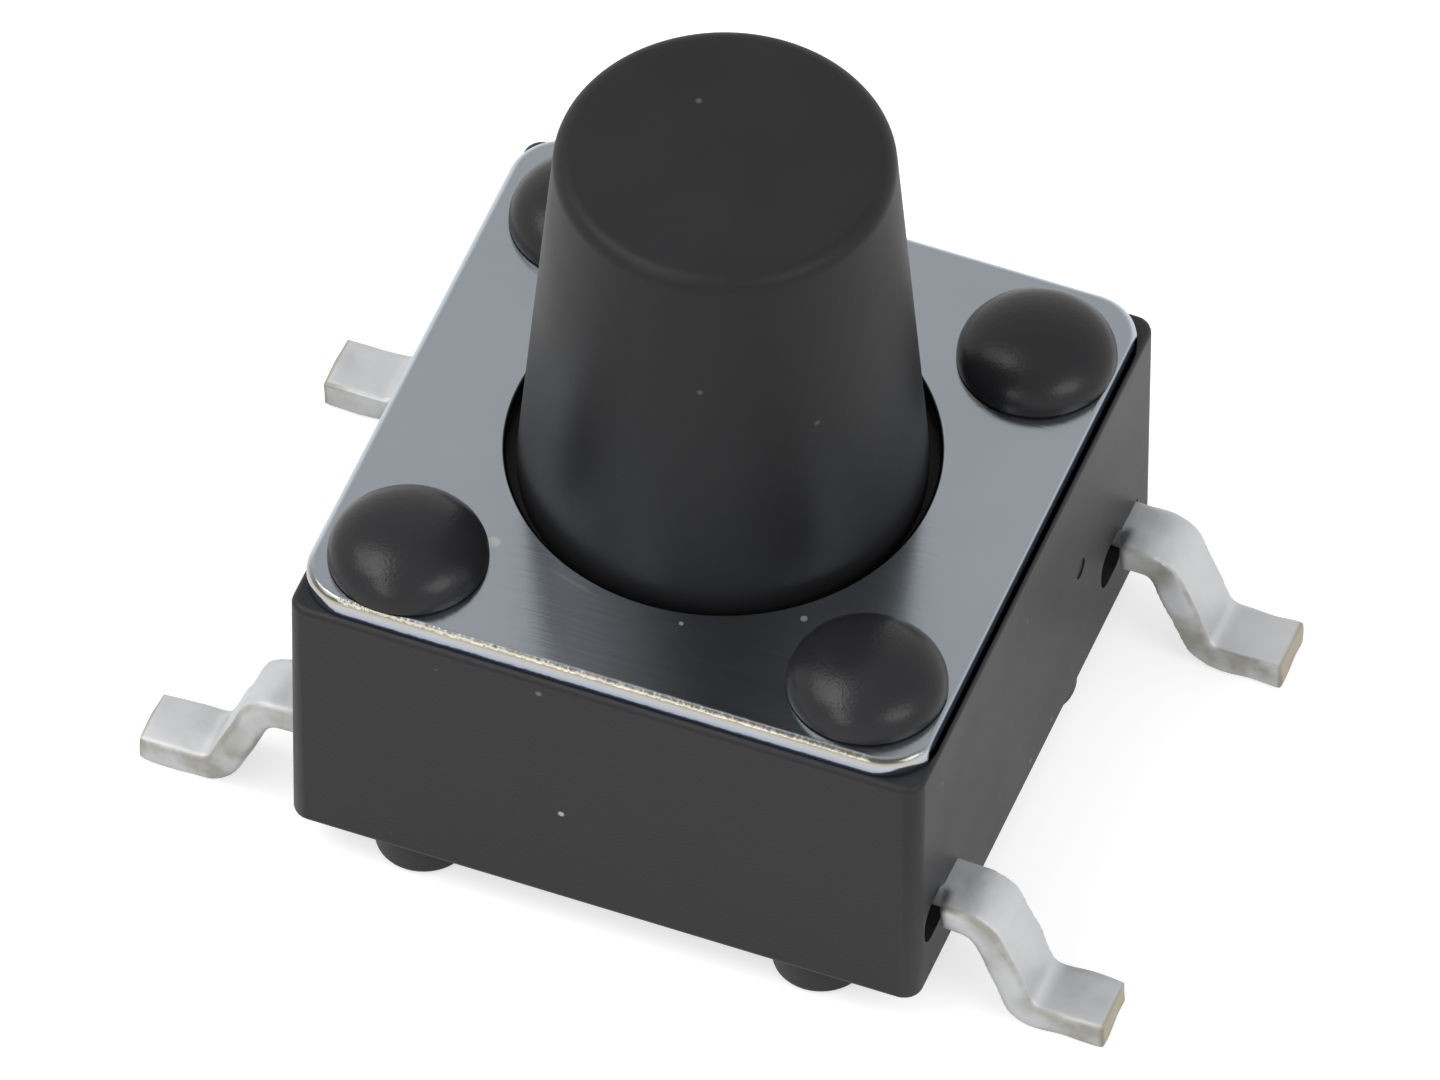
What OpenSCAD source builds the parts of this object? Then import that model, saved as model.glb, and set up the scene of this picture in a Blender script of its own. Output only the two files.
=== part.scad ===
// Surface-mount tactile push button switch, 6 x 6 mm class, millimetres.
// The origin is the centre of the footprint on the circuit board, +Z is up, and the leads leave at
// the two X sides.

/* [Base moulding] */
// Size of the base between its two lead sides
base_x = 6.0; // [5.8:0.1:7]
// Size of the base between its two plain sides
base_y = 5.95; // [5.8:0.05:7]
// Height of the base from its underside to the shoulder under the cover
base_h = 2.9; // [2.85:0.05:4]
// Height of the underside above the circuit board
base_lift = 0.4; // [0.38:0.02:0.6]
// Radius of the upright corners
base_corner_r = 0.18; // [0.1:0.02:0.4]
// Chamfer of the moulded edges round the underside and round the shoulder
base_edge = 0.06; // [0.02:0.01:0.1]

/* [Board bosses] */
// Diameter of the bosses under the base
boss_d = 0.88; // [0.5:0.02:1]
// Gap between the bosses and the circuit board
boss_gap = 0.02; // [0.02:0.01:0.1]
// Inset of the bosses by the plain sides
boss_inset = 0.08; // [0.08:0.02:0.3]
// Inset of the bosses by the lead sides
side_boss_inset = 0.08; // [0.08:0.02:0.3]
// Half the distance between the bosses along the plain sides
boss_x = 1.9; // [1.2:0.05:2.1]
// Offset of the boss by each lead side from the middle of that side
side_boss_y = 1.2; // [0.6:0.05:1.3]

/* [Cover plate] */
// Inset of the cover from the lead sides of the base
cover_inset_x = 0.02; // [0.02:0.01:0.15]
// Inset of the cover from the plain sides of the base
cover_inset_y = 0.05; // [0.02:0.01:0.15]
// Thickness of the cover's sheet
cover_t = 0.2; // [0.15:0.05:0.3]
// Radius of the cover's corners
cover_corner_r = 0.5; // [0.3:0.05:0.7]
// Radius of the cover's rolled-over upper edge
cover_edge_r = 0.08; // [0.04:0.01:0.1]

/* [Staked posts] */
// Distance between the posts along X
post_pitch_x = 4.35; // [4.3:0.05:4.8]
// Distance between the posts along Y
post_pitch_y = 4.2; // [4.1:0.05:4.5]
// Diameter of the posts
post_d = 0.8; // [0.6:0.05:0.85]
// Radial clearance of the posts in the cover's holes
post_gap = 0.05; // [0.03:0.01:0.1]
// Diameter of the staked heads
head_d = 1.44; // [1.2:0.02:1.5]
// Height of the staked heads above the cover
head_h = 0.4; // [0.3:0.02:0.5]
// Height of the heads' upright sides, below their domes
head_side_h = 0.12; // [0.06:0.02:0.2]

/* [Plunger] */
// Height of the plunger's top above the circuit board
height = 7.45; // [4.3:0.05:12]
// Diameter of the stem at the cover
stem_base_d = 3.66; // [3.4:0.02:3.8]
// Diameter of the stem at the top, before its edge is rounded
stem_top_d = 3.04; // [2.6:0.02:3.4]
// Radius of the stem's top edge
stem_edge_r = 0.16; // [0.05:0.01:0.4]
// Radial gap between the stem and the cover's hole
stem_gap = 0.1; // [0.08:0.01:0.2]
// Reach of the flange under the cover, past the hole
flange_overlap = 0.35; // [0.2:0.05:0.35]
// Thickness of the flange
flange_t = 0.85; // [0.5:0.05:0.9]
// Play between the flange and the cover
flange_play = 0.03; // [0.01:0.01:0.05]
// Radial gap between the flange and the wall of the cavity
flange_side_gap = 0.1; // [0.05:0.01:0.12]
// Diameter of the pusher under the flange
pusher_d = 2.0; // [1.2:0.1:2.6]
// Play between the pusher and the contact dome
pusher_play = 0.03; // [0.01:0.01:0.05]
// Travel of the plunger
travel = 0.25; // [0.15:0.05:0.3]

/* [Contact dome] */
// Diameter of the contact dome
dome_d = 3.7; // [3.2:0.05:3.7]
// Height of the contact dome
dome_h = 0.4; // [0.38:0.02:0.5]
// Thickness of the contact dome's sheet
dome_t = 0.06; // [0.04:0.01:0.08]
// Radial gap between the contact dome and its pocket
dome_gap = 0.07; // [0.03:0.01:0.07]

/* [Terminals] */
// Thickness of the terminals' strip
strip_t = 0.3; // [0.2:0.02:0.3]
// Width of the leads
lead_w = 0.62; // [0.5:0.01:0.7]
// Distance between the front and the rear leads
lead_pitch = 4.5; // [4.45:0.05:4.7]
// Height of the leads' underside above the underside of the base, where they leave it
lead_exit = 0.6; // [0.55:0.05:0.8]
// Length of the leads' straight run outside the base
lead_out = 0.28; // [0.2:0.02:0.5]
// Length of the leads' flat feet
foot_len = 0.6; // [0.4:0.01:1]
// Slope of the leads between their two bends, in degrees
lead_slope = 68; // [50:1:80]
// Inner radius of the leads' bends
bend_r = 0.1; // [0.08:0.01:0.14]
// Radius of the trimmed lower edge at the tip of each foot
tip_r = 0.16; // [0.05:0.01:0.18]
// Thickness of the base's plastic over the strips, between them and the contact dome
strip_cover_t = 0.06; // [0.04:0.01:0.1]
// Clearance of the windows in the base beside each lead
window_side = 0.18; // [0.05:0.01:0.2]
// Clearance of the windows above each lead
window_above = 0.05; // [0.05:0.01:0.2]
// Clearance of the windows below each lead
window_below = 0.08; // [0.05:0.01:0.3]
// Depth of the windows
window_depth = 0.3; // [0.1:0.05:0.35]
// Width of the outer contact lands
land_w = 0.5; // [0.3:0.05:0.6]
// Width of the centre contact's arm
arm_w = 0.7; // [0.4:0.05:0.9]
// Diameter of the centre contact
contact_d = 1.0; // [0.8:0.05:1.2]
// Height of the bump on the centre contact
bump_h = 0.05; // [0.02:0.01:0.06]

/* [Hidden] */
$fn = 64;
overcut = 0.1;          // how far a cut runs past the face it opens
edge_fn = 32;           // facets of the cover's hulled outline

// Heights above the circuit board
strip_z = base_lift + lead_exit;
strip_top_z = strip_z + strip_t;
floor_z = strip_top_z + strip_cover_t;
cover_z = base_lift + base_h;
cover_top_z = cover_z + cover_t;
flange_z = cover_z - flange_play - flange_t;
pusher_z = floor_z + dome_h + pusher_play;
ledge_gap = 0.15;
ledge_z = flange_z - travel - ledge_gap;

// Plan sizes
cover_x = base_x - 2 * cover_inset_x;
cover_y = base_y - 2 * cover_inset_y;
hole_d = stem_base_d + 2 * stem_gap;
flange_d = hole_d + 2 * flange_overlap;
cavity_d = flange_d + 2 * flange_side_gap;
pocket_d = dome_d + 2 * dome_gap;
land_x = dome_d / 2 - land_w / 2 + dome_gap;

// The lead's bends: mean radius, sloping length and run
bend_mid = bend_r + strip_t / 2;
slope_len = (strip_z - 2 * bend_mid * (1 - cos(lead_slope))) / sin(lead_slope);
lead_run = 2 * bend_mid * sin(lead_slope) + slope_len * cos(lead_slope);
bend_x = base_x / 2 + lead_out;
foot_x = bend_x + lead_run;
tip_x = foot_x + foot_len;
bend_steps = 8;

// Points of an arc about c, from angle a to angle b
function arc(c, r, a, b, steps = bend_steps) =
    [for (i = [0:steps]) let (t = a + (b - a) * i / steps) c + r * [cos(t), sin(t)]];

// Flat outline of a rectangle with round corners
module round_rect(x, y, r) {
    square([x - 2 * r, y], center = true);
    square([x, y - 2 * r], center = true);
    for (sx = [-1, 1], sy = [-1, 1])
        translate([sx * (x / 2 - r), sy * (y / 2 - r)]) circle(r);
}

// Copies what follows to the four corners of a rectangle about the origin
module at_corners(x, y) {
    for (sx = [-1, 1], sy = [-1, 1]) translate([sx * x / 2, sy * y / 2]) children();
}

// Block with round upright corners, its lower and upper edges rounded by their own radii
module soft_block(x, y, h, corner_r, low_r, high_r) {
    outline = concat(
        [[0, 0]],
        arc([corner_r - low_r, low_r], low_r, -90, 0, 4),
        arc([corner_r - high_r, h - high_r], high_r, 0, 90, 4),
        [[0, h]]);
    hull()
        at_corners(x - 2 * corner_r, y - 2 * corner_r)
            rotate_extrude($fn = edge_fn) polygon(outline);
}

// One post with the domed head that the staking tool forms over the cover
module staked_post() {
    dome_rise = head_h - head_side_h;
    crown_r = (pow(head_d / 2, 2) + pow(dome_rise, 2)) / (2 * dome_rise);
    half = asin(head_d / 2 / crown_r);
    outline = concat(
        [[0, cover_z - overcut], [post_d / 2, cover_z - overcut], [post_d / 2, cover_top_z],
         [head_d / 2, cover_top_z]],
        arc([0, cover_top_z + head_h - crown_r], crown_r, 90 - half, 90));
    rotate_extrude() polygon(outline);
}

// Bosses under the base: one by each end of the plain sides and one by each lead side
module bosses() {
    h = base_lift - boss_gap + overcut;
    boss_y = base_y / 2 - boss_inset - boss_d / 2;
    side_x = base_x / 2 - side_boss_inset - boss_d / 2;
    translate([0, 0, boss_gap]) {
        at_corners(2 * boss_x, 2 * boss_y) cylinder(d = boss_d, h = h);
        for (s = [-1, 1]) translate([s * side_x, s * side_boss_y]) cylinder(d = boss_d, h = h);
    }
}

// Windows that the leads leave through, open to both lead sides
module lead_windows() {
    w = lead_w + 2 * window_side;
    h = strip_t + window_above + window_below;
    mid_z = strip_z + (strip_t + window_above - window_below) / 2;
    for (sx = [-1, 1], sy = [-1, 1])
        translate([sx * (base_x / 2 - window_depth), sy * lead_pitch / 2, mid_z])
            rotate([90, 0, sx * 90])
                linear_extrude(window_depth + overcut) round_rect(w, h, min(w, h) / 4);
}

// Outline of a face of the base with its lower and upper edges chamfered
module chamfered_side(w) {
    polygon([
        [-w / 2 + base_edge, 0], [w / 2 - base_edge, 0], [w / 2, base_edge], [w / 2, base_h - base_edge],
        [w / 2 - base_edge, base_h], [-w / 2 + base_edge, base_h], [-w / 2, base_h - base_edge],
        [-w / 2, base_edge]]);
}

// Outer block of the base, with round upright corners and chamfered edges
module base_block() {
    intersection() {
        linear_extrude(base_h) round_rect(base_x, base_y, base_corner_r);
        rotate([90, 0, 0]) linear_extrude(base_y + overcut, center = true) chamfered_side(base_x);
        rotate([90, 0, 90]) linear_extrude(base_x + overcut, center = true) chamfered_side(base_y);
    }
}

module base() {
    color("#262628") difference() {
        union() {
            translate([0, 0, base_lift]) base_block();
            at_corners(post_pitch_x, post_pitch_y) staked_post();
            bosses();
        }
        translate([0, 0, ledge_z]) cylinder(d = cavity_d, h = cover_z - ledge_z + overcut);
        translate([0, 0, floor_z]) cylinder(d = pocket_d, h = ledge_z - floor_z + overcut);
        lead_windows();
        front_strip();
        rear_strip();
    }
}

module cover_plate() {
    color("#B4B8BC") difference() {
        translate([0, 0, cover_z])
            soft_block(cover_x, cover_y, cover_t, cover_corner_r, cover_edge_r / 4, cover_edge_r);
        translate([0, 0, cover_z - overcut]) {
            cylinder(d = hole_d, h = cover_t + 2 * overcut);
            at_corners(post_pitch_x, post_pitch_y)
                cylinder(d = post_d + 2 * post_gap, h = cover_t + 2 * overcut);
        }
    }
}

module plunger() {
    stem_r = stem_base_d / 2;
    top_r = stem_top_d / 2;
    outline = concat(
        [[0, pusher_z], [pusher_d / 2, pusher_z], [pusher_d / 2, flange_z],
         [flange_d / 2, flange_z], [flange_d / 2, flange_z + flange_t],
         [stem_r, flange_z + flange_t], [stem_r, cover_top_z]],
        arc([top_r - stem_edge_r, height - stem_edge_r], stem_edge_r, 0, 90),
        [[0, height]]);
    color("#2C2C2E") rotate_extrude() polygon(outline);
}

// Thin crowned disc that rests on its rim
module contact_dome() {
    rise = dome_h - dome_t;
    rim_r = dome_d / 2;
    crown_r = (pow(rim_r, 2) + pow(rise, 2)) / (2 * rise);
    half = asin(rim_r / crown_r);
    centre = [0, floor_z + rise - crown_r];
    outline = concat(
        arc(centre, crown_r, 90, 90 - half, 12),
        [[rim_r, floor_z + dome_t]],
        [for (p = arc(centre + [0, dome_t], crown_r, 90 - half, 90, 12)) if (p.x < rim_r - dome_t) p]);
    color("#C8C8C4") rotate_extrude() polygon(outline);
}

// Side view of one lead, from inside the base to the tip of its foot
module lead_profile() {
    r_in = bend_r;
    r_out = bend_r + strip_t;
    bend_a = [bend_x, strip_z - bend_r];
    bend_b = [foot_x, r_out];
    polygon(concat(
        [[base_x / 2 - window_depth - overcut, strip_top_z]],
        arc(bend_a, r_out, 90, 90 - lead_slope),
        arc(bend_b, r_in, 270 - lead_slope, 270),
        [[tip_x, strip_t]],
        arc([tip_x - tip_r, tip_r], tip_r, 0, -90, 4),
        arc(bend_b, r_out, 270, 270 - lead_slope),
        arc(bend_a, r_in, 90 - lead_slope, 90),
        [[base_x / 2 - window_depth - overcut, strip_z]]));
}

// The strip that joins the left and the right lead, seen from above
module strip_bar() {
    x = base_x - 2 * window_depth;
    translate([-x / 2, -lead_w / 2, strip_z]) cube([x, lead_w, strip_t]);
}

module lead_pair() {
    strip_bar();
    for (turn = [0, 180]) rotate([0, 0, turn])
        translate([0, lead_w / 2]) rotate([90, 0, 0]) linear_extrude(lead_w) lead_profile();
}

// Front strip: an arm dips under the floor and comes up as the centre contact
module front_strip() {
    start_y = -lead_pitch / 2;
    rise_y = -contact_d / 2;
    low_z = strip_z - strip_t;
    translate([0, start_y]) lead_pair();
    translate([-arm_w / 2, 0]) rotate([90, 0, 90]) linear_extrude(arm_w)
        polygon([
            [start_y, strip_top_z], [start_y + lead_w / 2, strip_top_z], [start_y + lead_w / 2, strip_z],
            [rise_y, strip_z], [rise_y, strip_top_z], [0, strip_top_z], [0, strip_z],
            [rise_y + strip_t, strip_z], [rise_y + strip_t, low_z],
            [start_y + lead_w / 2 - strip_t, low_z], [start_y + lead_w / 2 - strip_t, strip_z],
            [start_y, strip_z]]);
    translate([0, 0, strip_z]) cylinder(d = contact_d, h = floor_z - strip_z);
    translate([0, 0, floor_z]) cylinder(d1 = contact_d / 2, d2 = contact_d / 3, h = bump_h);
}

// Rear strip: two arms run forward to the raised lands that carry the rim of the contact dome
module rear_strip() {
    translate([0, lead_pitch / 2]) lead_pair();
    for (s = [-1, 1]) translate([s * land_x - land_w / 2, -land_w / 2, strip_z]) {
        cube([land_w, lead_pitch / 2 + land_w / 2, strip_t]);
        cube([land_w, land_w, floor_z - strip_z]);
    }
}

module terminal_front() { color("#D0D0CC") front_strip(); }

module terminal_rear() { color("#D0D0CC") rear_strip(); }

base();
cover_plate();
plunger();
contact_dome();
terminal_front();
terminal_rear();
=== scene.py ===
"""Looks of a surface-mount tactile push button switch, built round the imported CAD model.

Pieces are modelled in millimetres at their real places, and scaled to metres when they are finished.
"""

import math

import bmesh
import bpy
from mathutils import Matrix, Vector


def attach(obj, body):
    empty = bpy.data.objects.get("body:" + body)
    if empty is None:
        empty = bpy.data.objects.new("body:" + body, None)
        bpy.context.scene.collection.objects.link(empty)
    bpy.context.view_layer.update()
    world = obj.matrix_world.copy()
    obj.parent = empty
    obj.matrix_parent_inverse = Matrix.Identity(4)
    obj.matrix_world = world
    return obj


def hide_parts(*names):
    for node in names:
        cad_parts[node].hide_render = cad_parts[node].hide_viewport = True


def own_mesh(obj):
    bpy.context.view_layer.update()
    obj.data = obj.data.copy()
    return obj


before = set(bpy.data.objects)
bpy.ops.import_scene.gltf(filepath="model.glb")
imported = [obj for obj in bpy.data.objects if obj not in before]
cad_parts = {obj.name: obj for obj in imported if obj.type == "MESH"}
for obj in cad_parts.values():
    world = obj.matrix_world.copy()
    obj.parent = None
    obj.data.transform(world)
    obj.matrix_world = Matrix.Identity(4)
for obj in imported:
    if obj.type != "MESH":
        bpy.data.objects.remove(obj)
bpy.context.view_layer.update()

MM = 0.001

# Sizes of the switch, as in the part's source
BASE_X, BASE_Y, BASE_CORNER_R, BASE_EDGE = 6.0, 5.95, 0.18, 0.06
UNDERSIDE, SHOULDER, COVER_TOP, BUTTON_TOP = 0.4, 3.3, 3.5, 7.45
COVER_X, COVER_Y, COVER_CORNER_R, COVER_EDGE_R = 5.96, 5.85, 0.5, 0.08
HOLE_R, STEM_R, STEM_TOP_R, STEM_EDGE_R = 1.93, 1.83, 1.52, 0.16
FLANGE_R, FLANGE_Z, FLANGE_TOP, FLANGE_EDGE = 2.28, 2.42, 3.27, 0.04
PUSHER_R, PUSHER_Z = 1.0, 1.79
CAVITY_R, POCKET_R, LEDGE, FLOOR = 2.38, 1.92, 2.02, 1.36
POST_X, POST_Y, POST_R, POST_GAP, HEAD_R, HEAD_H = 2.175, 2.1, 0.4, 0.05, 0.72, 0.4
BOSS_R, BOSS_Z, BOSS_TOP = 0.44, 0.02, 0.5
DOME_R, DOME_H, DOME_T = 1.85, 0.4, 0.06
STRIP_Z, STRIP_T, LEAD_W, LEAD_Y = 1.0, 0.3, 0.62, 2.25
BEND_R, BEND_X, FOOT_X, TIP_X, SLOPE = 0.1, 3.28, 4.021, 4.621, math.radians(68)
ARM_W, LAND_X, LAND_W = 0.7, 1.67, 0.5

# Sizes of what the photograph adds to it, and the grid on which the dipped leads are remeshed
RECESS_LOW, RECESS_HIGH, RECESS_R, RECESS_PITCH = (2.7, -2.78, 0.94), (3.2, -2.24, 1.4), 0.19, 4.42
NECK_START, NECK_END, NECK_Y = 2.76, 3.06, -0.08
PIT_R, PIT_DEPTH, PIT_Y, PIT_Z = 0.1, 0.03, 1.1, 1.92
HEAD_SLIPS = {(-1, -1): (0.034, -0.086), (1, -1): (0, 0), (1, 1): (0.043, -0.1), (-1, 1): (0.09, -0.04)}
GRID = 0.032
HAIR = 0.001  # keeps faces that would meet from lying in one plane


# Modelling by hand, in code

def primitive(name, add, **size):
    """Adds a primitive at its size and place, with nothing else selected."""
    bpy.ops.object.select_all(action="DESELECT")
    add(**size)
    piece = bpy.context.active_object
    piece.name = piece.data.name = name
    bpy.ops.object.transform_apply(location=True, rotation=True, scale=True)
    return piece


def block(name, low, high):
    """A box between two corners."""
    low, high = Vector(low), Vector(high)
    return primitive(name, bpy.ops.mesh.primitive_cube_add, size=1,
                     location=(low + high) / 2, scale=high - low)


def cylinder(name, radius, depth, centre, steps=48, **more):
    """An upright cylinder about its centre."""
    return primitive(name, bpy.ops.mesh.primitive_cylinder_add, vertices=steps, radius=radius,
                     depth=depth, location=centre, **more)


def leave():
    """Goes back to object mode."""
    if bpy.context.mode != "OBJECT":
        bpy.ops.object.mode_set(mode="OBJECT")


def activate(piece):
    """Makes the piece the only one selected, in object mode."""
    leave()
    bpy.ops.object.select_all(action="DESELECT")
    piece.select_set(True)
    bpy.context.view_layer.objects.active = piece


def select(piece, kind, chosen):
    """Opens the piece in edit mode with only the chosen edges or faces selected."""
    activate(piece)
    bpy.ops.object.mode_set(mode="EDIT")
    bpy.ops.mesh.select_mode(type=kind)
    bpy.ops.mesh.select_all(action="DESELECT")
    mesh = bmesh.from_edit_mesh(piece.data)
    for item in {"EDGE": mesh.edges, "FACE": mesh.faces}[kind]:
        if chosen(item):
            item.select_set(True)
    mesh.select_flush_mode()
    bmesh.update_edit_mesh(piece.data)


def near(value, target):
    return abs(value - target) < 1e-4


def upright(edge):
    """Tests whether an edge runs along Z."""
    a, b = (v.co for v in edge.verts)
    return abs(a.z - b.z) > 0.99 * (a - b).length


def at_height(*heights):
    """Tests whether an edge lies level at one of these heights."""
    return lambda edge: any(all(near(v.co.z, h) for v in edge.verts) for h in heights)


def round_edges(piece, chosen, radius, steps):
    """Rounds the chosen edges, or chamfers them in a few steps."""
    select(piece, "EDGE", chosen)
    bpy.ops.mesh.bevel(offset=radius, segments=steps, affect="EDGES", clamp_overlap=False)
    leave()


def modify(piece, kind, **settings):
    """Adds a modifier and applies it."""
    activate(piece)
    bpy.ops.object.modifier_add(type=kind)
    modifier = piece.modifiers[-1]
    for key, value in settings.items():
        setattr(modifier, key, value)
    bpy.ops.object.modifier_apply(modifier=modifier.name)


def combine(piece, operation, *others):
    """Cuts the others out of the piece, or fuses them with it."""
    for other in others:
        modify(piece, "BOOLEAN", operation=operation, object=other, solver="EXACT")
        bpy.data.objects.remove(other)


def copied(piece, matrix):
    """A copy with its own mesh, moved or turned."""
    copy = piece.copy()
    copy.data = piece.data.copy()
    bpy.context.scene.collection.objects.link(copy)
    copy.data.transform(matrix)
    return copy


def turned(name, profile, steps=96):
    """A solid of revolution about Z: a disc that is extruded and scaled along (radius, height)."""
    radius, height = profile[0]
    piece = primitive(name, bpy.ops.mesh.primitive_circle_add, vertices=steps, radius=radius,
                      fill_type="NGON", location=(0, 0, height))
    select(piece, "FACE", lambda face: True)
    for r, z in profile[1:]:
        bpy.ops.mesh.extrude_region_move(TRANSFORM_OT_translate={"value": (0, 0, z - height)})
        bpy.ops.transform.resize(value=(r / radius, r / radius, 1), center_override=(0, 0, z))
        radius, height = r, z
    bpy.ops.mesh.select_all(action="SELECT")
    bpy.ops.mesh.normals_make_consistent(inside=False)
    leave()
    return piece


def arc(centre, radius, start, end, steps=8):
    """Points of an arc from one angle to another, in degrees."""
    angles = [math.radians(start + (end - start) * i / steps) for i in range(steps + 1)]
    return [(centre[0] + radius * math.cos(a), centre[1] + radius * math.sin(a)) for a in angles]


def finish(piece, body, slot, material, *nodes):
    """Shades the piece, brings it to metres, and puts it in the place of its CAD nodes."""
    activate(piece)
    piece.scale = (MM, MM, MM)
    bpy.ops.object.transform_apply(location=True, rotation=True, scale=True)
    bpy.ops.object.shade_smooth_by_angle(angle=math.radians(40))
    modify(piece, "WEIGHTED_NORMAL", keep_sharp=True)
    piece.data.materials.clear()
    piece.data.materials.append(material)
    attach(piece, body)
    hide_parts(*nodes)


# Materials

def colour(code):
    """An sRGB hex value as linear colour."""
    parts = [int(code[i:i + 2], 16) / 255 for i in (1, 3, 5)]
    return [p / 12.92 if p <= 0.04045 else ((p + 0.055) / 1.055) ** 2.4 for p in parts] + [1]


def add(tree, kind, inputs=None, **settings):
    """Adds a node with its settings, and sets its inputs or links them to outputs."""
    node = tree.nodes.new(kind)
    for key, value in settings.items():
        setattr(node, key, value)
    for key, value in (inputs or {}).items():
        if isinstance(value, bpy.types.NodeSocket):
            tree.links.new(value, node.inputs[key])
        else:
            node.inputs[key].default_value = value
    return node


def calc(tree, operation, first, second=0.0):
    """Arithmetic on two values."""
    return add(tree, "ShaderNodeMath", {0: first, 1: second}, operation=operation).outputs[0]


def between(tree, value, start, end, low=0.0, high=1.0):
    """Goes from low to high while the value goes from start to end."""
    return add(tree, "ShaderNodeMapRange", {"Value": value, "From Min": start, "From Max": end,
                                            "To Min": low, "To Max": high}).outputs[0]


def ramp(tree, value, *stops):
    """The colour at this value on a ramp through (position, hex) stops."""
    node = add(tree, "ShaderNodeValToRGB", {"Fac": value})
    elements = node.color_ramp.elements
    for element, (position, code) in zip(elements, (stops[0], stops[-1])):
        element.position, element.color = position, colour(code)
    for position, code in stops[1:-1]:
        elements.new(position).color = colour(code)
    return node.outputs["Color"]


def mixed(tree, share, first, second):
    """The first colour, turned into the second by this share."""
    return add(tree, "ShaderNodeMix", {0: share, 6: first, 7: second}, data_type="RGBA").outputs[2]


def noise(tree, place, size, detail=3):
    """Noise with features of about this size in millimetres."""
    return add(tree, "ShaderNodeTexNoise", {"Vector": place, "Scale": 1 / (size * MM),
                                            "Detail": detail}).outputs["Fac"]


def rough_and_bumpy(tree, shader, rough, height, strength, distance):
    """Gives the shader its roughness, and a bump of this depth in millimetres."""
    tree.links.new(rough, shader.inputs["Roughness"])
    bump = add(tree, "ShaderNodeBump", {"Height": height, "Strength": strength,
                                        "Distance": distance * MM})
    tree.links.new(bump.outputs[0], shader.inputs["Normal"])


def from_axis(tree, vector):
    """Distance from the Z axis."""
    flat = add(tree, "ShaderNodeVectorMath", {0: vector, 1: (1, 1, 0)}, operation="MULTIPLY")
    return add(tree, "ShaderNodeVectorMath", {0: flat.outputs[0]}, operation="LENGTH").outputs["Value"]


def spot(tree, place, centre, radius):
    """One inside a small round mark at this place, nothing outside."""
    away = add(tree, "ShaderNodeVectorMath", {0: place, 1: [c * MM for c in centre]},
               operation="DISTANCE").outputs["Value"]
    return between(tree, away, radius * MM, 0.6 * radius * MM)


def streak(tree, place, centre, angle, length, width):
    """One along a fine straight streak on the cover, which thins out toward its ends."""
    along = add(tree, "ShaderNodeMapping", {
        "Vector": place, "Location": [c * MM for c in centre] + [0],
        "Rotation": (0, 0, math.radians(angle)), "Scale": (length * MM, width * MM, 1)},
        vector_type="TEXTURE").outputs[0]
    return between(tree, from_axis(tree, along), 0.5, 0.25)


def dusted(tree, place, tint, spacing, size, share, dust):
    """The tint with scattered dust specks: one in each cell of this spacing in millimetres."""
    cells = add(tree, "ShaderNodeTexVoronoi", {"Vector": place, "Scale": 1 / (spacing * MM)})
    return mixed(tree, between(tree, cells.outputs["Distance"], 0.02, size / spacing, share, 0.0),
                 tint, colour(dust))


def material(name):
    """An empty material, its tree, the shader and the place on the piece in metres."""
    made = bpy.data.materials.new(name)
    made.use_nodes = True
    tree = made.node_tree
    place = add(tree, "ShaderNodeTexCoord").outputs["Object"]
    return made, tree, tree.nodes["Principled BSDF"], place


def moulded_pbt():
    """Black glass-filled PBT from a spark-eroded mould: near black, satin, with a fine even grain."""
    made, tree, shader, place = material("moulded_black_pbt")
    shader.inputs["IOR"].default_value = 1.34
    shade = noise(tree, place, 0.8, 4)
    tint = ramp(tree, shade, (0, "#1C1C1E"), (1, "#262628"))
    shown = dusted(tree, place, tint, 0.75, 0.038, 0.5, "#8A8A88")
    shown = mixed(tree, spot(tree, place, (-0.381, -2.975, 1.573), 0.035), shown, colour("#A9AAA8"))
    tree.links.new(shown, shader.inputs["Base Color"])
    # The heads, melted and pressed by a polished tool, are glossier
    height = add(tree, "ShaderNodeSeparateXYZ", {"Vector": place}).outputs["Z"]
    staked = calc(tree, "GREATER_THAN", height, (COVER_TOP + 0.01) * MM)
    gloss = add(tree, "ShaderNodeMix", {0: staked, 2: between(tree, shade, 0, 1, 0.36, 0.5), 3: 0.28},
                data_type="FLOAT").outputs[0]
    # Grain of the eroded steel, about 0.03 mm
    rough_and_bumpy(tree, shader, gloss, noise(tree, place, 0.03), 0.25, 0.01)
    return made


def moulded_nylon():
    """Black nylon plunger: more matt than the base, with a fine bloom and dust."""
    made, tree, shader, place = material("moulded_black_nylon")
    shader.inputs["IOR"].default_value = 1.32
    shade = noise(tree, place, 1.2, 5)
    tint = ramp(tree, shade, (0, "#161618"), (1, "#202022"))
    tree.links.new(dusted(tree, place, tint, 0.6, 0.036, 0.35, "#77756F"), shader.inputs["Base Color"])
    rough_and_bumpy(tree, shader, between(tree, shade, 0, 1, 0.42, 0.56),
                    noise(tree, place, 0.025), 0.2, 0.008)
    return made


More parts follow.
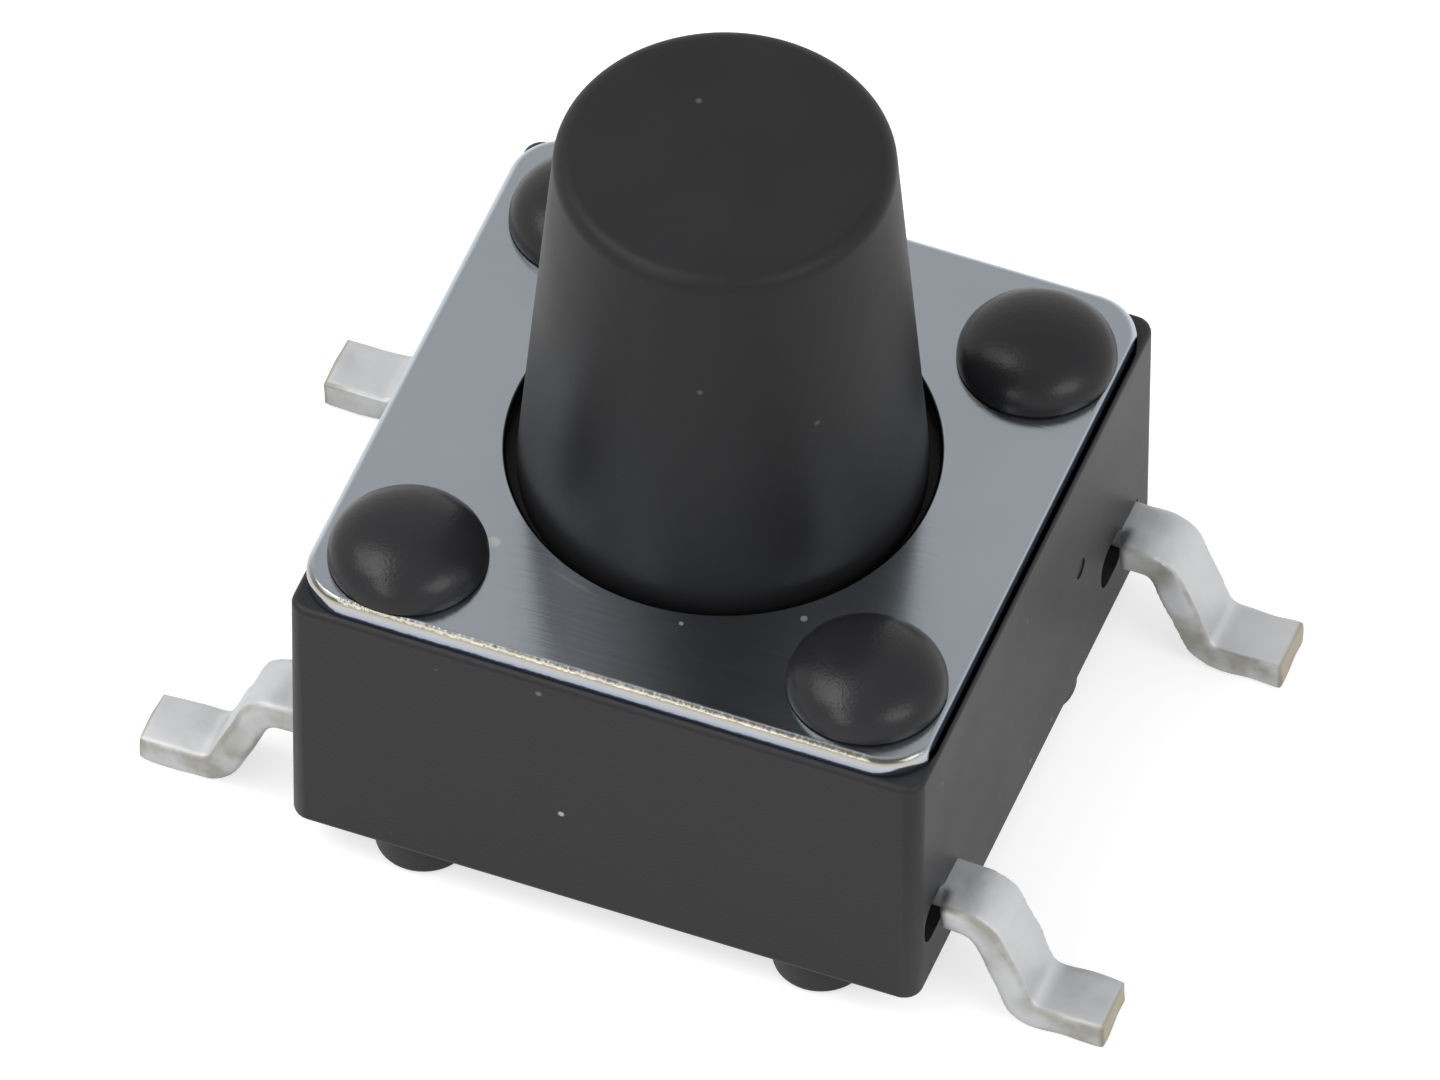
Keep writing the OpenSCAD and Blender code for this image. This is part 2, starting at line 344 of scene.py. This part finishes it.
def rolled_stainless():
    """Bright rolled stainless sheet: a soft mirror with faint rolling lines, a lighter streak and spots,
    and a blanked rim with painted reflections and shade.
    """
    made, tree, shader, place = material("rolled_stainless")
    shader.inputs["Metallic"].default_value = 1
    x, y, z = add(tree, "ShaderNodeSeparateXYZ", {"Vector": place}).outputs
    tint = ramp(tree, noise(tree, place, 1.5), (0, "#A8AFB5"), (1, "#B6BCC2"))
    # A soft streak beside the hole and three small round spots, all lighter and rougher than the sheet
    marks = calc(tree, "MULTIPLY", streak(tree, place, (-0.67, -1.95), -15, 0.62, 0.055), 0.5)
    for centre, radius in (((-1.49, -1.77), 0.07), ((1.384, -1.597), 0.045), ((0.394, -2.047), 0.03)):
        marks = calc(tree, "MAXIMUM", marks, spot(tree, place, centre + (COVER_TOP,), radius))
    tint = mixed(tree, calc(tree, "MULTIPLY", marks, 0.7), tint, colour("#D2D3D3"))
    # The blanked rim, with painted reflections: in front a dark band of painted shade where the roll-over
    # starts, then a little warm, then the bluish sheared face; on the other sides a plainer bluish ramp
    # that darkens downward
    depth = between(tree, z, COVER_TOP * MM, SHOULDER * MM)
    other_rim_painted_light = ramp(tree, depth, (0, "#BFC8D0"), (1, "#9AA3B2"))
    front_rim_painted_light = ramp(tree, depth, (0, "#68645A"), (0.13, "#747067"), (0.18, "#B5B1A6"), (0.3, "#BDBCB6"),
                (0.45, "#B7BBC4"), (0.8, "#9AA6BA"), (1, "#8A98B1"))
    rim_painted_reflection = mixed(tree, between(tree, y, -2.45 * MM, -2.8 * MM), other_rim_painted_light, front_rim_painted_light)
    share = add(tree, "ShaderNodeVectorMath", {0: place, 1: (1 / COVER_X, 1 / COVER_Y, 0)},
                operation="MULTIPLY")
    share = add(tree, "ShaderNodeVectorMath", {0: share.outputs[0]}, operation="ABSOLUTE")
    share = add(tree, "ShaderNodeSeparateXYZ", {"Vector": share.outputs[0]})
    reach = calc(tree, "MAXIMUM", share.outputs["X"], share.outputs["Y"])
    outer = calc(tree, "GREATER_THAN", reach, 0.45 * MM)
    rolled = between(tree, z, (COVER_TOP - 0.001) * MM, (COVER_TOP - 0.01) * MM)
    shown = mixed(tree, calc(tree, "MULTIPLY", rolled, outer), tint, rim_painted_reflection)
    # Painted shade on the right side face of the sheet under its roll-over: a dark colour and a dark
    # specular tint
    side = between(tree, x, (COVER_X / 2 - 0.042) * MM, (COVER_X / 2 - 0.03) * MM)
    shown = mixed(tree, side, shown, colour("#2C2E37"))
    tree.links.new(mixed(tree, side, colour("#FFFFFF"), colour("#202024")),
                   shader.inputs["Specular Tint"])
    # Painted shade on the edge and the wall of the button's hole, as dark as the shadowed gap round the
    # stem
    hole_painted_shade = between(tree, from_axis(tree, place), (HOLE_R + 0.036) * MM, (HOLE_R + 0.028) * MM)
    shown = mixed(tree, hole_painted_shade, shown, colour("#2F3033"))
    tree.links.new(shown, shader.inputs["Base Color"])
    # Rolling lines along X, a few hundredths of a millimetre apart, and a rim roughened by the shears
    stretched = add(tree, "ShaderNodeMapping", {"Vector": place, "Scale": (0.04, 1, 1)})
    lines = noise(tree, stretched.outputs[0], 0.03)
    rough = calc(tree, "MAXIMUM", between(tree, lines, 0, 1, 0.12, 0.23),
                 calc(tree, "MULTIPLY", marks, 0.45))
    ragged = calc(tree, "MULTIPLY", noise(tree, place, 0.08),
                  between(tree, reach, 0.486 * MM, 0.491 * MM, 0.0, 5.0))
    rough_and_bumpy(tree, shader, rough, calc(tree, "ADD", lines, ragged), 0.12, 0.006)
    return made


def matte_tin():
    """Matt electroplated tin on brass strip: pale, softly lumpy, with a fine crystal grain."""
    made, tree, shader, place = material("matte_tin_plate")
    shader.inputs["Metallic"].default_value = 1
    x, y, _ = add(tree, "ShaderNodeSeparateXYZ", {"Vector": place}).outputs
    shade = noise(tree, place, 0.35, 5)
    tint = ramp(tree, shade, (0, "#C2C4C6"), (1, "#DADBDC"))
    # The tips were trimmed after plating, so their ends show dull brass through a wiped film of tin
    bare = between(tree, calc(tree, "ABSOLUTE", x), (TIP_X - 0.045) * MM, (TIP_X - 0.02) * MM)
    shown = mixed(tree, bare, tint, colour("#B3AD9C"))
    # A painted shadow line, as under a shear burr, along the front upper edges
    side = calc(tree, "SUBTRACT", y, calc(tree, "MULTIPLY", calc(tree, "SIGN", y), LEAD_Y * MM))
    edge = between(tree, calc(tree, "ABSOLUTE", calc(tree, "ADD", side, (LEAD_W / 2 - 0.02) * MM)),
                   0.03 * MM, 0.012 * MM)
    edge = calc(tree, "MULTIPLY", edge, between(tree, shade, 0.35, 0.55, 0.2, 0.7))
    shown = mixed(tree, edge, shown, colour("#8B8779"))
    tree.links.new(shown, shader.inputs["Base Color"])
    rough_and_bumpy(tree, shader, between(tree, shade, 0, 1, 0.5, 0.66), noise(tree, place, 0.12, 6),
                    0.35, 0.012)
    return made


def bright_dome_steel():
    """Polished spring steel of the contact dome, with the faint rings of its forming punch."""
    made, tree, shader, place = material("bright_spring_steel")
    shader.inputs["Metallic"].default_value = 1
    shader.inputs["Base Color"].default_value = colour("#C8C8C4")
    rings = add(tree, "ShaderNodeTexWave", {"Vector": place, "Scale": 1 / (0.4 * MM),
                                            "Distortion": 1.5}, wave_type="RINGS",
                rings_direction="Z").outputs["Fac"]
    rough_and_bumpy(tree, shader, between(tree, rings, 0, 1, 0.12, 0.22), rings, 0.05, 0.002)
    return made


# Moulded base: one moulding with its windows, bosses, posts and staked heads

def staked_head():
    """The bulging head that the heated staking tool forms, about Z."""
    angles = [math.radians(a) for a in range(0, 88, 8)]
    crown = [(HEAD_R * math.cos(a) ** 0.9, COVER_TOP + 0.02 + (HEAD_H - 0.02) * math.sin(a) ** 0.9)
             for a in angles]
    return turned("head", [(HEAD_R - 0.02, COVER_TOP)] + crown + [(0.02, COVER_TOP + HEAD_H)], 64)


def recess():
    """Cutter for the recess beside the front right lead, on the side of the front."""
    cutter = block("recess", RECESS_LOW, RECESS_HIGH)
    round_edges(cutter, lambda e: near(e.verts[0].co.y, e.verts[1].co.y)
                and near(e.verts[0].co.z, e.verts[1].co.z), RECESS_R, 8)
    return cutter


def base_moulding(*strips):
    """The moulding, cast round the two contact strips."""
    piece = block("base_moulding", (-BASE_X / 2, -BASE_Y / 2, UNDERSIDE),
                  (BASE_X / 2, BASE_Y / 2, SHOULDER))
    round_edges(piece, upright, BASE_CORNER_R, 6)
    round_edges(piece, at_height(UNDERSIDE, SHOULDER), BASE_EDGE, 3)
    combine(piece, "DIFFERENCE", cylinder("cavity", CAVITY_R, 2, (0, 0, LEDGE + 1), 96),
            cylinder("pocket", POCKET_R, 2, (0, 0, FLOOR + 1), 96))
    # One recess beside each lead; the left ones are the right ones turned half round
    one = recess()
    behind, half_turn = Matrix.Translation((0, RECESS_PITCH, 0)), Matrix.Rotation(math.pi, 4, "Z")
    combine(piece, "DIFFERENCE", one,
            *[copied(one, m) for m in (behind, half_turn, half_turn @ behind)])
    combine(piece, "DIFFERENCE", cylinder("gate_pit", PIT_R, PIT_DEPTH, (BASE_X / 2, PIT_Y, PIT_Z), 32,
                                          rotation=(0, math.pi / 2, 0)))
    boss = cylinder("boss", BOSS_R, BOSS_TOP - BOSS_Z, (0, 0, (BOSS_TOP + BOSS_Z) / 2))
    round_edges(boss, at_height(BOSS_Z), 0.05, 3)
    places = ((-1.9, -2.455), (1.9, -2.455), (-1.9, 2.455), (1.9, 2.455), (2.48, 1.2), (-2.48, -1.2))
    combine(piece, "UNION", *[copied(boss, Matrix.Translation((x, y, 0))) for x, y in places])
    bpy.data.objects.remove(boss)
    post = cylinder("post", POST_R, COVER_TOP - SHOULDER + 0.15, (0, 0, (COVER_TOP + SHOULDER) / 2))
    head = staked_head()
    # Each head is pressed a few hundredths of a millimetre off its post
    for (side, end), (slip_x, slip_y) in HEAD_SLIPS.items():
        x, y = side * POST_X, end * POST_Y
        combine(piece, "UNION", copied(post, Matrix.Translation((x, y, 0))),
                copied(head, Matrix.Translation((x + slip_x, y + slip_y, 0))))
    bpy.data.objects.remove(post)
    bpy.data.objects.remove(head)
    combine(piece, "DIFFERENCE", *[copied(strip, Matrix()) for strip in strips])
    return piece


# Stamped cover

def cover_sheet():
    """The blanked plate with the button's hole and the four holes for the posts."""
    piece = block("cover_sheet", (-COVER_X / 2, -COVER_Y / 2, SHOULDER),
                  (COVER_X / 2, COVER_Y / 2, COVER_TOP))
    round_edges(piece, upright, COVER_CORNER_R, 12)
    round_edges(piece, at_height(COVER_TOP), COVER_EDGE_R, 5)
    round_edges(piece, at_height(SHOULDER), 0.02, 2)
    combine(piece, "DIFFERENCE", cylinder("button_hole", HOLE_R, 1, (0, 0, COVER_TOP), 128),
            *[cylinder("post_hole", POST_R + POST_GAP, 1, (x, y, COVER_TOP))
              for x in (-POST_X, POST_X) for y in (-POST_Y, POST_Y)])
    # The punch rolls the sheet in at the top of the button's hole
    round_edges(piece, lambda e: at_height(COVER_TOP)(e)
                and all(abs(v.co.xy.length - HOLE_R) < 1e-3 for v in e.verts), 0.03, 3)
    return piece


# Plunger

def plunger_stem():
    """Pusher, flange and tapered stem with its rounded top edge, as one turned profile."""
    edge, slope_top = FLANGE_EDGE, BUTTON_TOP - STEM_EDGE_R
    profile = ([(PUSHER_R - edge, PUSHER_Z), (PUSHER_R, PUSHER_Z + edge), (PUSHER_R, FLANGE_Z),
                (FLANGE_R - edge, FLANGE_Z), (FLANGE_R, FLANGE_Z + edge),
                (FLANGE_R, FLANGE_TOP - edge), (FLANGE_R - edge, FLANGE_TOP),
                (STEM_R, FLANGE_TOP), (STEM_R, COVER_TOP)]
               + [(STEM_R + (STEM_TOP_R - STEM_R) * i / 8, COVER_TOP + (slope_top - COVER_TOP) * i / 8)
                  for i in range(1, 8)]
               + arc((STEM_TOP_R - STEM_EDGE_R, slope_top), STEM_EDGE_R, 0, 90)
               + [(r, BUTTON_TOP) for r in (1.2, 0.8, 0.4, 0.05)])
    return turned("plunger_stem", profile, 128)


# Contact dome

def snap_dome():
    """Crowned disc of thin spring steel, resting on its rim."""
    rise = DOME_H - DOME_T
    crown_r = (DOME_R ** 2 + rise ** 2) / (2 * rise)

    def height(r, lift):
        return FLOOR + lift + rise - crown_r + math.sqrt(crown_r ** 2 - r ** 2)

    steps = [DOME_R * i / 14 for i in range(1, 15)]
    profile = [(r, height(r, 0)) for r in steps] + [(r, height(r, DOME_T)) for r in reversed(steps)]
    return turned("snap_dome", profile, 96)


# Terminals

def half_strip(name):
    """Half a contact strip along +X about Y = 0: bar, two bends and the foot."""
    mid_z = STRIP_Z + STRIP_T / 2
    piece = primitive(name, bpy.ops.mesh.primitive_plane_add, size=1, rotation=(0, math.pi / 2, 0),
                      location=(0, 0, mid_z))
    select(piece, "FACE", lambda face: True)
    bpy.ops.transform.resize(value=(1, LEAD_W, STRIP_T), center_override=(0, 0, mid_z))

    def straight(x, z=0):
        bpy.ops.mesh.extrude_region_move(TRANSFORM_OT_translate={"value": (x, 0, z)})

    def bend(centre, angle):
        bpy.ops.mesh.spin(steps=8, angle=angle, center=centre, axis=(0, 1, 0))

    straight(RECESS_LOW[0])
    straight(BEND_X - RECESS_LOW[0])
    bend((BEND_X, 0, STRIP_Z - BEND_R), -SLOPE)
    mid_r = BEND_R + STRIP_T / 2
    length = (STRIP_Z - 2 * mid_r * (1 - math.cos(SLOPE))) / math.sin(SLOPE)
    straight(length * math.cos(SLOPE), -length * math.sin(SLOPE))
    bend((FOOT_X, 0, BEND_R + STRIP_T), SLOPE)
    straight(TIP_X - FOOT_X)
    leave()
    # The trimming tool drags the lower edge of the tip round
    round_edges(piece, lambda e: all(near(v.co.x, TIP_X) and near(v.co.z, 0) for v in e.verts), 0.09, 4)
    return piece


def terminal(name, y, *branches):
    """Both leads of a strip and its branches, with edges that the shears and the tin leave soft."""
    piece = half_strip(name)
    select(piece, "FACE", lambda face: all(near(v.co.x, 0) for v in face.verts))
    bpy.ops.mesh.delete(type="FACE")
    bpy.ops.mesh.select_all(action="SELECT")
    bpy.ops.mesh.normals_make_consistent(inside=False)
    leave()
    modify(piece, "MIRROR", use_axis=(True, False, False), merge_threshold=1e-4)
    piece.data.transform(Matrix.Translation((0, y, 0)))
    combine(piece, "UNION", *branches)
    modify(piece, "BEVEL", width=0.05, segments=3, limit_method="ANGLE",
           angle_limit=math.radians(50))
    return piece


def necks(piece, y):
    """Narrows each lead in its recess: the right ones on the side of the front, the left ones behind."""
    modify(piece, "REMESH", mode="VOXEL", voxel_size=GRID)
    right = block("neck", (NECK_START, -LEAD_W, STRIP_Z - 0.1),
                  (NECK_END, NECK_Y, STRIP_Z + STRIP_T + 0.1))
    left = copied(right, Matrix.Rotation(math.pi, 4, "Z"))
    for neck in (right, left):
        neck.data.transform(Matrix.Translation((0, y, 0)))
    combine(piece, "DIFFERENCE", right, left)


def tin_lumps(piece):
    """The dipped tin swells and thins by a few hundredths of a millimetre."""
    swell = bpy.data.textures.new("tin_lumps", "CLOUDS")
    swell.noise_scale, swell.noise_depth = 0.5, 1
    modify(piece, "REMESH", mode="VOXEL", voxel_size=GRID)
    modify(piece, "DISPLACE", texture=swell, strength=0.05, mid_level=0.5, texture_coords="LOCAL")
    modify(piece, "SMOOTH", factor=0.5, iterations=4)


def front_terminal():
    """Its arm dips under the floor of the pocket and comes up as the centre contact."""
    top, low, start, rise = STRIP_Z + STRIP_T, STRIP_Z - STRIP_T, -LEAD_Y + LEAD_W / 2, -0.5
    wide, slim = ARM_W / 2, ARM_W / 2 - HAIR
    disc = cylinder("disc", 0.5, FLOOR - STRIP_Z, (0, 0, (FLOOR + STRIP_Z) / 2))
    bump = primitive("bump", bpy.ops.mesh.primitive_cone_add, vertices=32, radius1=0.26, radius2=0.16,
                     depth=0.07, location=(0, 0, FLOOR + 0.015))
    return terminal(
        "front_terminal", -LEAD_Y,
        block("descent", (-wide, start - STRIP_T, low), (wide, start + HAIR, top - HAIR)),
        block("passage", (-slim, start - 0.1, low), (slim, rise + 0.1, STRIP_Z)),
        block("ascent", (-wide, rise, low), (wide, rise + STRIP_T, top - HAIR)),
        block("arm", (-slim, rise + 0.1, STRIP_Z + HAIR), (slim, 0, top - HAIR)), disc, bump)


def rear_terminal():
    """Two arms run forward to the raised lands under the rim of the contact dome."""
    half, top = LAND_W / 2, STRIP_Z + STRIP_T
    arms = [block("arm", (x - half, -0.1, STRIP_Z + HAIR), (x + half, LEAD_Y, top - HAIR))
            for x in (-LAND_X, LAND_X)]
    lands = [block("land", (x - half, -half, STRIP_Z), (x + half, half, FLOOR))
             for x in (-LAND_X, LAND_X)]
    return terminal("rear_terminal", LEAD_Y, *arms, *lands)


# The scene

front = front_terminal()
rear = rear_terminal()
base = base_moulding(front, rear)
necks(front, -LEAD_Y)
necks(rear, LEAD_Y)
tin_lumps(front)
tin_lumps(rear)
cover = cover_sheet()
plunger = plunger_stem()
dome = snap_dome()

pbt, nylon, steel, tin = moulded_pbt(), moulded_nylon(), rolled_stainless(), matte_tin()
finish(base, "housing", "base_black", pbt, "base")
finish(cover, "housing", "cover_steel", steel, "cover_plate")
finish(plunger, "button", "plunger_black", nylon, "plunger")
finish(dome, "housing", "dome_steel", bright_dome_steel(), "contact_dome")
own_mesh(dome)
finish(front, "housing", "tinned_brass", tin, "terminal_front")
finish(rear, "housing", "tinned_brass", tin, "terminal_rear")

# Floor: pale board-white paper that keeps a soft shadow and shows white to the camera
floor = primitive("floor", bpy.ops.mesh.primitive_plane_add, size=1.2, location=(0, 0, -0.00001))
paper, tree, shader, place = material("white_paper")
tree.nodes.remove(shader)
path = add(tree, "ShaderNodeLightPath")
mirrored = calc(tree, "MAXIMUM", path.outputs["Is Glossy Ray"], path.outputs["Is Transmission Ray"])
glow = calc(tree, "MAXIMUM", calc(tree, "MULTIPLY", path.outputs["Is Camera Ray"], 0.62),
            calc(tree, "MULTIPLY", mirrored, 0.38))
matt = add(tree, "ShaderNodeBsdfDiffuse", {"Color": colour("#C4C4C4")})
light = add(tree, "ShaderNodeEmission", {"Color": colour("#FFFFFF"), "Strength": glow})
both = add(tree, "ShaderNodeAddShader", {0: matt.outputs[0], 1: light.outputs[0]})
tree.links.new(both.outputs[0], tree.nodes["Material Output"].inputs["Surface"])
floor.data.materials.append(paper)

# World: even studio light, white to the camera and in reflections near the horizon, greyer overhead
world = bpy.data.worlds.new("studio")
bpy.context.scene.world = world
world.use_nodes = True
tree = world.node_tree
back = tree.nodes["Background"]
direction = add(tree, "ShaderNodeTexCoord").outputs["Generated"]
axes = add(tree, "ShaderNodeSeparateXYZ", {"Vector": direction})
over = between(tree, axes.outputs["Z"], 0.3, 0.8, 1.0, 0.62)
path = add(tree, "ShaderNodeLightPath")
seen = calc(tree, "MAXIMUM", path.outputs["Is Camera Ray"], path.outputs["Is Glossy Ray"])
seen = calc(tree, "MAXIMUM", seen, path.outputs["Is Transmission Ray"])
level = add(tree, "ShaderNodeMix", {0: seen, 2: 0.8, 3: over}, data_type="FLOAT")
back.inputs["Color"].default_value = colour("#FFFFFF")
tree.links.new(level.outputs[0], back.inputs["Strength"])


def softbox(name, spot, width, length, watts):
    """A rectangular light that faces the switch from this spot, with its length along Y."""
    lamp = bpy.data.lights.new(name, "AREA")
    lamp.shape = "RECTANGLE"
    lamp.size, lamp.size_y, lamp.energy = width, length, watts
    holder = bpy.data.objects.new(name, lamp)
    bpy.context.scene.collection.objects.link(holder)
    back = Vector(spot).normalized()
    across = Vector((0, 1, 0)).cross(back).normalized()
    along = back.cross(across)
    holder.matrix_world = Matrix.Translation(spot) @ Matrix((across, along, back)).transposed().to_4x4()


softbox("overhead_strip", (-0.112, -0.15, 0.28), 0.05, 0.5, 0.45)
softbox("front_left_softbox", (-0.17, -0.035, 0.24), 0.12, 0.17, 0.19)
softbox("right_softbox", (0.21, -0.078, 0.198), 0.14, 0.14, 0.2)

# Camera at the photograph's viewing angle: 20.9 degrees round to the right, 49.6 degrees up
DISTANCE = 0.27027
azimuth, elevation, roll = math.radians(20.92), math.radians(49.60), math.radians(0.36)
toward = Vector((math.sin(azimuth) * math.cos(elevation), -math.cos(azimuth) * math.cos(elevation),
                 math.sin(elevation)))
level_right = Vector((math.cos(azimuth), math.sin(azimuth), 0))
level_up = toward.cross(level_right)
right = math.cos(roll) * level_right + math.sin(roll) * level_up
up = -math.sin(roll) * level_right + math.cos(roll) * level_up
aim = Vector((0, 0, 3.6)) * MM - (0.0294 * right + 0.888 * up) * MM
camera = bpy.data.objects.new("camera", bpy.data.cameras.new("camera"))
bpy.context.scene.collection.objects.link(camera)
camera.matrix_world = (Matrix.Translation(aim + toward * DISTANCE)
                       @ Matrix((right, up, toward)).transposed().to_4x4())
camera.data.sensor_width = 36
camera.data.lens = 761.5
camera.data.clip_start, camera.data.clip_end = 0.01, 10
bpy.context.scene.camera = camera
bpy.context.scene.view_settings.view_transform = "Standard"
